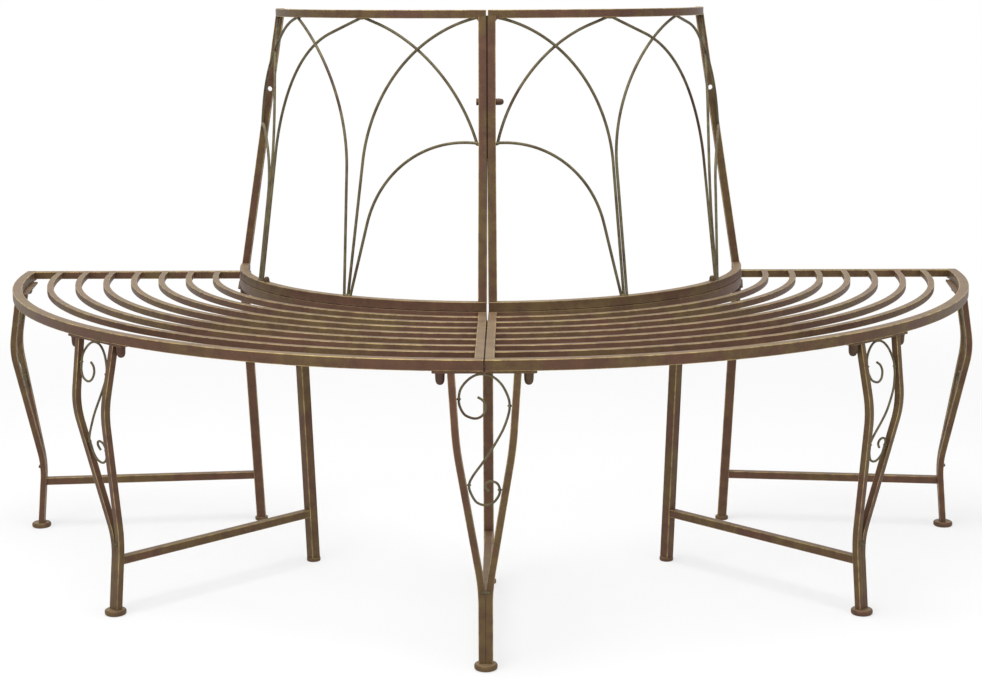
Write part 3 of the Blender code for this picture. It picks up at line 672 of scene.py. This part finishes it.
def arch(base, spring, lean, end, slope=None):
    """A straight stem out of the base rail, and the arc that it turns into."""
    tilt = math.tan(lean * quarter) * (1 if end[0] > base else -1)
    foot = base_rail_top - stem_depth
    spring_place = (base + tilt * (level(spring) - base_rail_top), level(spring))
    return [(base - tilt * (base_rail_top - foot), foot), *tangent_arc(spring_place, end, lean, slope)]


# Angles are shares of a quarter turn, from the bench's middle or from its open back, and leans and slopes
# are too, from upright. Heights are shares of the room between the rails. Each bunch has the stem, spring
# and lean of the arch to the post's head; the stem, spring, lean, last slope and top of the arch towards the
# panel's middle; the spring, lean and end of the low arch; and the lean, last slope and top of the high one.
bunch_shares = {
    ("left", "middle"): (
        (0.342, 0.485, 0.026), (0.351, 0.448, 0.046, 0.787, 0.660),
        (0.262, 0.113, 0.559), (0.194, 0.813, 0.369),
    ),
    ("right", "middle"): (
        (0.329, 0.479, 0.000), (0.336, 0.464, 0.002, 0.874, 0.642),
        (0.261, 0.113, 0.560), (0.146, 0.812, 0.358),
    ),
    ("left", "end"): (
        (0.314, 0.389, 0.051), (0.332, 0.489, -0.037, 0.782, 0.637),
        (0.316, 0.051, 0.557), (0.098, 0.854, 0.336),
    ),
    ("right", "end"): (
        (0.326, 0.150, 0.078), (0.338, 0.459, -0.055, 0.775, 0.644),
        (0.330, 0.200, 0.557), (0.020, 0.855, 0.356),
    ),
}
wire_end_depth = 0.0015  # of a wire's end in the top rail
crown = top_rail_bottom + wire_end_depth
high_arch_set_back = 0.003
outward_set_back = high_arch_set_back - 2 * wire_radius - contact_gap
end_arch_bulge = 0.005  # the high arches by the end posts bow out of the leaning surface
end_arch_set_out = 0.0037  # of the arches' ends on the end posts
bulge_share = 0.8  # of such an arch's height
corner_share = 0.9  # of a post's width, where the middle of a wire meets the top rail
seated_share = 0.8  # of its radius, by which a wire stands off the post that it springs from
low_arch_step = 0.004  # from the foot of the arch to the post's head
bunch_bead_step = 0.002
top_bead, foot_bead, post_bead = 0.0032, 0.0038, 0.0028  # radii of the weld beads
wires = []
beads = []  # the middle and the radius of each weld bead
for (side, post), (inward, outward, lower, higher) in bunch_shares.items():
    from_back = post == "end"
    mirror = Vector((-1, 1, 1)) if side == "left" else Vector((1, 1, 1))
    post_face = frame_size if from_back else half_gap + frame_size
    set_out, bulge = (end_arch_set_out, end_arch_bulge) if from_back else (0, 0)
    base = quarter * inward[0] * map_radius
    outward_base = quarter * outward[0] * map_radius
    corner = corner_share * post_face * map_radius / top_rail_radius
    meeting = level(lower[2])
    at_meeting = map_radius / lean_radius(meeting)
    low_end = (post_face * at_meeting, meeting)
    high_foot = ((post_face + wire_radius * seated_share) * at_meeting, meeting)
    outward_end = (quarter * outward[4] * map_radius, crown)
    high_end = (quarter * higher[2] * map_radius, crown)
    inward_arch = arch(base, *inward[1:], (corner, crown))
    low_arch = arch(base - low_arch_step, *lower[:2], low_end)
    high_arch = tangent_arc(high_foot, high_end, *higher[:2])
    outward_arch = arch(outward_base, *outward[1:3], outward_end, outward[3])
    low_shares = [min(max((base - along) / (base - low_end[0]), 0), 1) for along, _ in low_arch]
    low_backs = [-set_out * share**2 for share in low_shares]
    high_backs = []
    for _, height in high_arch:
        share = (height - meeting) / (crown - meeting)
        ahead = set_out * (1 - share) + bulge * math.sin(math.pi * min(share / bulge_share, 1))
        high_backs.append(high_arch_set_back * (share if from_back else 1) - ahead)
    inward_backs, outward_backs = [0.0] * len(inward_arch), [outward_set_back] * len(outward_arch)
    routes = (inward_arch, low_arch, high_arch, outward_arch)
    for route, backs in zip(routes, (inward_backs, low_backs, high_backs, outward_backs)):
        line = [
            Vector(on_backrest(along, height, back, from_back)) * mirror
            for (along, height), back in zip(route, backs)
        ]
        wires.append(line)
        beads.append((line[-1] - Vector((0, 0, wire_end_depth)), top_bead))
    for along, back in ((base - bunch_bead_step, 0.0), ((base + outward_base) / 2, outward_set_back / 2)):
        beads.append((Vector(on_backrest(along, base_rail_top, back, from_back)) * mirror, foot_bead))
    beads.append((Vector(on_backrest(*high_foot, -set_out, from_back)) * mirror, post_bead))
wire_values = {"Bronze": colour(75, 57, 42), "Olive": colour(100, 92, 66), "Brass": colour(160, 148, 100)}
wire_values |= {"Olive Share": 0.72, "Rub": 0.0, "Top Rub": 0.35}
wire_paint = bronze_paint("wire_bronze_paint", 0.2, wire_values, metallic=0.35)
arches = made("backrest_arches", round_wires, wire_paint, {"Wire Radius": wire_radius}, path_mesh(*wires))
arch_nodes = [f"{part}_arches_{side}" for part in ("post", "middle", "end") for side in ("left", "right")]
fitted(arches, "wire_olive_bronze", *arch_nodes)


# Front legs. Each is a pair of 10 mm square tubes that stand apart under the seat, swell outwards to a knee,
# draw together and run down side by side as one column. A flat plate on top hangs from the outer rail.
plate_thickness = 0.003
plate_bottom = seat_height - rail_size - contact_gap - plate_thickness
foot_height = 0.0085
leg_bend = 0.022  # half the height that a bend takes
knee_height, knee_bulge, knee_spread = 0.317, 0.016, 0.0375
top_spread, column_spread = 0.044, 0.00495  # half the distance between the tubes
fork_height = 0.110  # where the two tubes meet
fork_inset, foot_inset = 0.0225, 0.0125  # from the middle of the outer rail


def bent_value(height, stations):
    """A value that runs straight between stations and bends softly at them."""
    levels, values = zip(*stations)
    offsets = np.linspace(-leg_bend, leg_bend, 9) + height
    inside = np.interp(offsets, levels[::-1], values[::-1])
    low_slope = (values[-2] - values[-1]) / (levels[-2] - levels[-1])
    high_slope = (values[0] - values[1]) / (levels[0] - levels[1])
    inside += np.minimum(offsets - levels[-1], 0) * low_slope
    inside += np.maximum(offsets - levels[0], 0) * high_slope
    return float(inside.mean())


def leg_radius(height):
    """The distance of a front leg from the tree's axis."""
    knee = (knee_height, outer_radius + knee_bulge)
    fork = (fork_height, outer_radius - fork_inset)
    return bent_value(height, ((plate_bottom, outer_radius), knee, fork, (0, outer_radius - foot_inset)))


def leg_spread(height):
    """Half the distance between the two tubes of a front leg."""
    knee, fork = (knee_height, knee_spread), (fork_height, column_spread)
    return bent_value(height, ((plate_bottom, top_spread), knee, fork, (0, column_spread)))


def keep_vectors(mesh, name, vectors):
    """Gives each point of a mesh a vector to remember."""
    attribute = mesh.attributes.new(name, "FLOAT_VECTOR", "POINT")
    attribute.data.foreach_set("vector", np.array(vectors, np.float32).ravel())


def lofted(name, rings, sections):
    """A closed tube through rings of points, which keep their places in its section."""
    count = len(rings[0])
    points = [point for ring in rings for point in ring]
    faces = [tuple(reversed(range(count)))]
    for row in range(len(rings) - 1):
        for index in range(count):
            after = (index + 1) % count
            low_row, high_row = row * count, (row + 1) * count
            faces.append((low_row + index, low_row + after, high_row + after, high_row + index))
    faces.append(tuple(range((len(rings) - 1) * count, len(rings) * count)))
    mesh = bpy.data.meshes.new(name)
    mesh.from_pydata(points, [], faces)
    keep_vectors(mesh, "section", sections * len(rings))
    return mesh


plate_clip, plate_ease = 0.0035, 0.0005  # at its corners, and along its edges


def plate_mesh(length, width, middle_radius):
    """A flat plate with clipped corners and eased edges, on the middle leg."""
    bm = bmesh.new()
    size = Matrix.Diagonal((length, width, plate_thickness, 1))
    middle = Matrix.Translation((0, -middle_radius, plate_bottom + plate_thickness / 2))
    bmesh.ops.create_cube(bm, size=1, matrix=middle @ size)
    half = plate_thickness / 2
    upright = [edge for edge in bm.edges if abs(edge.verts[0].co.z - edge.verts[1].co.z) > half]
    bmesh.ops.bevel(bm, geom=upright, offset=plate_clip, segments=4, affect="EDGES", profile=0.5)
    level_edges = [edge for edge in bm.edges if abs(edge.verts[0].co.z - edge.verts[1].co.z) < half]
    rim = [edge for edge in level_edges if edge.calc_face_angle(0) > 1]
    bmesh.ops.bevel(bm, geom=rim, offset=plate_ease, segments=2, affect="EDGES", profile=0.5)
    return as_mesh("plate", bm)


copier, given, out = new_tree("copies at places", {"Object": None, "Material": None})
size, turn = (
    geo(copier, "InputNamedAttribute", {"Name": name}, data_type="FLOAT_VECTOR") for name in ("size", "turn")
)
part = add(copier, "GeometryNodeObjectInfo", {"Object": given["Object"], "As Instance": True})
points = geo(copier, "MeshToPoints", {"Mesh": given["Geometry"]})
turned = got(copier, "FunctionNodeEulerToRotation", {0: turn})
placing = {"Points": points, "Instance": part.outputs["Geometry"], "Rotation": turned, "Scale": size}
copies = geo(copier, "InstanceOnPoints", placing)
end_tree(copier, copies, given["Material"], out)


def copied(name, mesh, places, paint, slot, nodes=(), sizes=None):
    """Fits copies of a part at places, each a location and a turn."""
    mesh.shade_smooth()
    mesh.set_sharp_from_angle(angle=sharp_angle)
    part = bpy.data.objects.new(name + "_part", mesh)
    start = bpy.data.meshes.new(name)
    start.from_pydata([location for location, _ in places], [], [])
    keep_vectors(start, "turn", [turn for _, turn in places])
    keep_vectors(start, "size", sizes or [(1, 1, 1)] * len(places))
    piece = made(name, copier, paint, {"Object": part}, start)
    bpy.data.objects.remove(part)
    fitted(piece, slot, *nodes)


end_leg = quarter - math.radians(6.5)
leg_turns = {"left_end": -end_leg, "left": -quarter / 2, "middle": 0.0}
leg_turns |= {"right": quarter / 2, "right_end": end_leg}
leg_places = [((0, axis_y, 0), (0, 0, turn)) for turn in leg_turns.values()]


def per_leg(*names):
    """The nodes of these names, one for each leg."""
    return [f"{name}_{leg}" for name in names for leg in leg_turns]


ring = []
corner_middle = Vector((bar_size / 2 - bar_corner, bar_size / 2 - bar_corner, 0))
for side in range(4):
    for step in range(corner_steps + 1):
        angle = quarter * step / corner_steps
        point = corner_middle + bar_corner * Vector((math.cos(angle), math.sin(angle), 0))
        ring.append(Matrix.Rotation(quarter * side, 3, "Z") @ point)
ring_shares = [tuple(point / (bar_size / 2)) for point in ring]
tube_depth = 0.001  # of a leg's tubes in its foot and its plate
tube_heights = np.linspace(foot_height - tube_depth, plate_bottom + tube_depth, 72)
front_plate_length, front_plate_width, front_plate_radius = 0.139, 0.022, 0.7865
seam_share = 0.5  # keeps the corners in the seam between the tubes from being rubbed
leg_parts = [plate_mesh(front_plate_length, front_plate_width, front_plate_radius)]
for side in (-1, 1):
    rings = [
        [point + Vector((side * leg_spread(height), -leg_radius(height), height)) for point in ring]
        for height in tube_heights
    ]
    tube = lofted("leg_tube", rings, ring_shares)
    for vertex, place in zip(tube.vertices, tube.attributes["section"].data):
        if vertex.co.z < fork_height and vertex.co.x * side < leg_spread(0):
            place.vector = Vector(place.vector) * seam_share
    leg_parts.append(tube)
leg_paint = bronze_paint("leg_bronze_paint", 0.22, {"Olive Share": 0.45, "Rub": 0.8, "Top Rub": 0.3})
front_leg = merged("front_leg", leg_parts)
copied("front_legs", front_leg, leg_places, leg_paint, "leg_bronze", per_leg("front_leg"))


# Leg scrolls. An S of 3.4 mm wire, curled at both ends, is welded under the plate and between the two tubes
# of each front leg. It follows the leg's bulge.
scroll_radius = 0.0017
scroll_height = 0.1775
scroll_shares = (
    (-0.26, 0.165), (-0.04, 0.195), (0.05, 0.245), (-0.08, 0.300), (-0.38, 0.322), (-0.76, 0.297),
    (-0.94, 0.240), (-0.97, 0.180), (-0.87, 0.105), (-0.57, 0.036), (-0.20, 0.000), (0.25, 0.012),
    (0.62, 0.072), (0.88, 0.160), (0.97, 0.230), (0.93, 0.305), (0.74, 0.412), (0.32, 0.552),
    (-0.06, 0.648), (-0.66, 0.765), (-0.95, 0.836), (-0.93, 0.900), (-0.62, 0.975), (0.03, 1.000),
    (0.62, 0.978), (0.93, 0.925), (0.95, 0.875), (0.75, 0.825), (0.39, 0.806), (0.10, 0.818),
    (0.03, 0.850), (0.26, 0.885),
)
scroll_crown = plate_bottom - contact_gap - scroll_radius
scroll_line = []
for across_share, down_share in scroll_shares:
    height = scroll_crown - down_share * scroll_height
    room = leg_spread(height) - bar_size / 2 - scroll_radius - contact_gap
    scroll_line.append(Vector((across_share * room, -leg_radius(height), height)))
padded = [scroll_line[0], *scroll_line, scroll_line[-1]]
steps_between = 6
scroll_path = []
for a, b, c, d in zip(padded, padded[1:], padded[2:], padded[3:]):  # a smooth curve through the points
    for index in range(steps_between):
        t = index / steps_between
        curve = 2 * b + (c - a) * t + (2 * a - 5 * b + 4 * c - d) * t**2 + (3 * b - a - 3 * c + d) * t**3
        scroll_path.append(curve / 2)
scroll_path.append(scroll_line[-1])
scroll_values = {"Wire Radius": scroll_radius, "Sides": 12}
scroll = made("scroll_wire", round_wires, wire_paint, scroll_values, path_mesh(scroll_path))
scroll_mesh = scroll.data
bpy.data.objects.remove(scroll)
copied("leg_scrolls", scroll_mesh, leg_places, wire_paint, "wire_olive_bronze", per_leg("leg_scroll"))


# Front feet. Each column stands on a turned steel disc with a rounded rim, which is welded under its two
# tubes and painted like them.
foot_radius, foot_rim = 0.016, 0.0032


def rounded_disc(radius, height, edge):
    """The profile of a disc that stands on Z = 0, with rounded rims."""
    corner = np.linspace(0, quarter, 6)
    top = [(radius - edge + edge * math.sin(a), height - edge + edge * math.cos(a)) for a in corner]
    bottom = [(radius - edge + edge * math.cos(a), edge - edge * math.sin(a)) for a in corner]
    return [(0, height), *top, *bottom, (0, 0)]


foot_paint = bronze_paint("foot_bronze_paint", 0.2, {"Olive Share": 0.5, "Rub": 0.4})
foot = turned_mesh("front_foot", rounded_disc(foot_radius, foot_height, foot_rim), 40)
foot.transform(Matrix.Translation((0, -leg_radius(0), 0)))
copied("front_feet", foot, leg_places, foot_paint, "foot_bronze", per_leg("front_foot"))


# Rear legs. A 15.5 mm square tube drops from a small plate under the inner rail to the ground, and a 12.5 mm
# square stretcher ties it to the front column. All three are welded together.
plate_top = plate_bottom + plate_thickness
rear_foot_inset = 0.018  # from the middle of the inner rail
rear_foot_radius = inner_radius - rear_foot_inset
rear_cap_height = 0.0065
rear_plate_length, rear_plate_width = 0.080, 0.020
stretcher_height = 0.081


def rear_leg_radius(height):
    """The distance of a rear leg from the tree's axis."""
    return rear_foot_radius + (inner_radius - rear_foot_radius) * height / plate_top


rear_leg_heights = (rear_cap_height - tube_depth, 0.2, plate_bottom + tube_depth)
leg_line = [(0, -rear_leg_radius(height), height) for height in rear_leg_heights]
stretcher_front = leg_radius(stretcher_height) - bar_size / 2 + tube_depth
stretcher_rear = rear_leg_radius(stretcher_height) + rail_size / 2 - rail_overlap
stretcher_line = [(0, -stretcher_front, stretcher_height), (0, -stretcher_rear, stretcher_height)]
rear_paint = bronze_paint("rear_leg_bronze_paint", 0.22, {"Olive Share": 0.28, "Rub": 0.6, "Top Rub": 0.3})
rear_tube = tubes("rear_tube", rail_size, rail_corner, rear_paint, leg_line)
stretcher = tubes("stretcher", frame_size, frame_corner, rear_paint, stretcher_line)
rear_plate = plate_mesh(rear_plate_length, rear_plate_width, inner_radius)
rear_leg_mesh = merged("rear_leg", [rear_plate, rear_tube.data, stretcher.data])
bpy.data.objects.remove(rear_tube)
bpy.data.objects.remove(stretcher)
copied("rear_legs", rear_leg_mesh, leg_places, rear_paint, "leg_bronze", per_leg("rear_leg"))


# Rear caps. A low round steel cap closes the foot of each rear leg. It is only a little wider than the tube,
# and stands flat on the ground.
rear_cap_radius, rear_cap_rim = 0.011, 0.0016
rear_cap = turned_mesh("rear_cap", rounded_disc(rear_cap_radius, rear_cap_height, rear_cap_rim), 36)
rear_cap.transform(Matrix.Translation((0, -rear_leg_radius(0), 0)))
copied("rear_caps", rear_cap, leg_places, foot_paint, "foot_bronze", per_leg("rear_cap"))


# Domed nuts. Under each plate two blind steel nuts with a thin flange close the studs that are welded to the
# rails. They are painted with the bench, a little darker than its tubes.
nut_radius = 0.007
nut_height = 0.0165
front_stud_spread, rear_stud_spread = 0.0585, 0.028
nut_shares = (
    (1.0, 0.0), (1.0, 0.07), (0.93, 0.10), (0.91, 0.35),
    (0.88, 0.60), (0.80, 0.76), (0.62, 0.90), (0.34, 0.98),
)


def dome(radius, height, shares):
    """A domed nut's profile, from shares of its radius and height."""
    return [(0, 0), *((radius * r, height * z) for r, z in shares), (0, height)]


def at_leg(turn, point):
    """A point of the middle leg's frame, on the leg with this turn."""
    return Vector((0, axis_y, 0)) + Matrix.Rotation(turn, 4, "Z") @ point


nut_mesh = turned_mesh("dome_nut", dome(nut_radius, -nut_height, nut_shares), 32)
nut_places = []
for turn in leg_turns.values():
    for ring_radius, spread in ((outer_radius, front_stud_spread), (inner_radius, rear_stud_spread)):
        for side in (-1, 1):
            hung = Vector((side * spread, -math.sqrt(ring_radius**2 - spread**2), plate_bottom))
            nut_places.append((at_leg(turn, hung), (0, 0, turn)))
nut_colours = {"Bronze": colour(80, 56, 44), "Olive": colour(84, 68, 46), "Olive Share": 0.3, "Rub": 0.3}
nut_paint = bronze_paint("nut_bronze_paint", 0.2, nut_colours)
copied("dome_nuts", nut_mesh, nut_places, nut_paint, "nut_bronze", per_leg("dome_nut_a", "dome_nut_b"))


# Joint bolt. One steel hex bolt with a domed cap nut pulls the two middle posts together at the sitter's
# back. It is painted with the bench.
post_outside = half_gap + frame_size - pulled_in + post_oversize / 2
bolt_drop = 0.0018  # below the holes of the end posts
bolt_axis = Vector((0, axis_y - lean_radius(joint_height), joint_height - bolt_drop))
cap_shares = ((0.86, 0.0), (1.0, 0.06), (1.0, 0.50), (0.92, 0.72), (0.74, 0.88), (0.42, 0.98))
cap_length = 0.012
cap_radius = 0.005
head_radius = 0.010 / math.sqrt(3)  # 10 mm across its flats
head_thickness = 0.0035
head_ease = 0.0004
shank_radius = 0.003
along_x = Matrix.Rotation(quarter, 4, "Y")
cap = turned_mesh("cap_nut", dome(cap_radius, -cap_length, cap_shares), 28)
cap_place = Matrix.Translation(bolt_axis + Vector((post_outside, 0, 0)))
cap.transform(cap_place @ Matrix.Rotation(-quarter, 4, "Y"))


def bar_along_x(name, middle, sides, radius, length, ease=0):
    """A bolt's head or shank."""
    bm = bmesh.new()
    place = Matrix.Translation(middle) @ along_x
    ends = {"radius1": radius, "radius2": radius, "depth": length}
    bmesh.ops.create_cone(bm, cap_ends=True, segments=sides, matrix=place, **ends)
    if ease:
        bmesh.ops.bevel(bm, geom=bm.edges[:], offset=ease, segments=2, affect="EDGES", profile=0.5)
    return as_mesh(name, bm)


head_middle = bolt_axis - Vector((post_outside + head_thickness / 2, 0, 0))
head = bar_along_x("bolt_head", head_middle, 6, head_radius, head_thickness, head_ease)
shank = bar_along_x("bolt_shank", bolt_axis, 20, shank_radius, 2 * post_outside)
bolt = merged("joint_bolt", [cap, head, shank])
copied("joint_bolt_set", bolt, [((0, 0, 0), (0, 0, 0))], nut_paint, "nut_bronze", ["joint_bolt"])


# Panel fastenings. Three washers hold each base rail just clear of the seat, and a bolt comes up through it
# beside the end bunch of wires, to a domed nut.
flat_places = []
for side in (-1, 1):
    flat_places.append((side * post_middle, -inner_radius))
    flat_places.append((side * inner_radius, -frame_size / 2))
stem_angle = quarter * (1 - bunch_shares["right", "end"][1][0])
nut_from_stem = 0.011
nut_angle = stem_angle - nut_from_stem / inner_radius
nut_x, nut_y = inner_radius * math.sin(nut_angle), -inner_radius * math.cos(nut_angle)
flat_places += [(nut_x, nut_y), (-nut_x, nut_y)]
washer_depth = 0.0006  # of its top in the base rail
washer_rim = 0.0003
washer_profile = rounded_disc(frame_size / 2 - contact_gap, washer_height + washer_depth, washer_rim)
washer = turned_mesh("washer", washer_profile, 28)
washer_places = [((x, axis_y + y, seat_height + contact_gap), (0, 0, 0)) for x, y in flat_places]
copied("panel_washers", washer, washer_places, nut_paint, "nut_bronze", back_frames)
panel_nut_shares = (
    (1.0, 0.0), (1.0, 0.12), (0.90, 0.16), (0.88, 0.45), (0.80, 0.70), (0.60, 0.90), (0.32, 0.985)
)
panel_nut_height = 0.009
panel_nut_depth = 0.0002
panel_nut = turned_mesh("panel_nut", dome(cap_radius, panel_nut_height, panel_nut_shares)[::-1], 28)
nut_foot = base_rail_top - panel_nut_depth
nut_places = [((x, axis_y + nut_y, nut_foot), (0, 0, 0)) for x in (-nut_x, nut_x)]
copied("panel_nuts", panel_nut, nut_places, nut_paint, "nut_bronze", back_frames)


# Welds. Each wire has a bead of weld where it meets a rail or a leg, each leg has some where its tubes meet,
# and the backrest's frames have short fillets in their corners. All are painted over.
bm = bmesh.new()
bmesh.ops.create_icosphere(bm, subdivisions=3, radius=1)
for vertex in bm.verts:
    wobble = math.sin(5 * vertex.co.x + 1) * math.sin(6 * vertex.co.y) * math.cos(5 * vertex.co.z + 2)
    vertex.co *= 1 + 0.12 * wobble
bead_mesh = as_mesh("weld_bead", bm)
weld_share = 0.94  # of the room between the tubes, beyond which the scroll is welded to one
scroll_bead, plate_bead, column_bead = 0.0028, 0.0034, 0.0040
scroll_welds = [point for (across, _), point in zip(scroll_shares, scroll_line) if abs(across) > weld_share]
leg_welds = [(point, scroll_bead) for point in scroll_welds]
leg_welds.append((Vector((0, -leg_radius(plate_bottom), plate_bottom - 0.001)), plate_bead))
column_top = fork_height - 0.003
column_face = leg_radius(column_top) + bar_size * 0.42
column_welds = [Vector((across, -column_face, column_top)) for across in (-0.003, 0.0, 0.0035)]
leg_welds += [(point, column_bead) for point in column_welds]
for turn in leg_turns.values():
    beads += [(at_leg(turn, point), radius) for point, radius in leg_welds]
bead_places = [(place, (0, 0, 1.3 * index)) for index, (place, _) in enumerate(beads)]
bead_sizes = [(radius, radius * 1.1, radius * 0.7) for _, radius in beads]
copied("weld_beads", bead_mesh, bead_places, wire_paint, "wire_olive_bronze", sizes=bead_sizes)

fillet_reach = 0.0045
fillet_width = frame_size * 0.86
fillet_depth = 0.001  # in the post and the rail
fillet_hollow = 0.0019
fillet_profile = (
    (-fillet_depth, fillet_depth), (fillet_reach, fillet_depth), (fillet_reach, 0),
    (fillet_hollow, -fillet_hollow), (0, -fillet_reach), (-fillet_depth, -fillet_reach),
)
rings = [[Vector((x, y, z)) for x, z in fillet_profile] for y in (-fillet_width / 2, fillet_width / 2)]
fillet = lofted("weld_fillet", rings, [(0, 0, 0)] * len(fillet_profile))
fillet_places = []
for side in (-1, 1):
    away = 0 if side > 0 else math.pi
    head = lean_radius(top_rail_bottom)
    fillet_places.append(((side * post_outside, axis_y - head, top_rail_bottom), (0, 0, away)))
    end_place = (side * head, axis_y - frame_size - post_oversize, top_rail_bottom)
    fillet_places.append((end_place, (0, 0, -quarter)))
copied("weld_fillets", fillet, fillet_places, rail_paint, "rail_bronze")
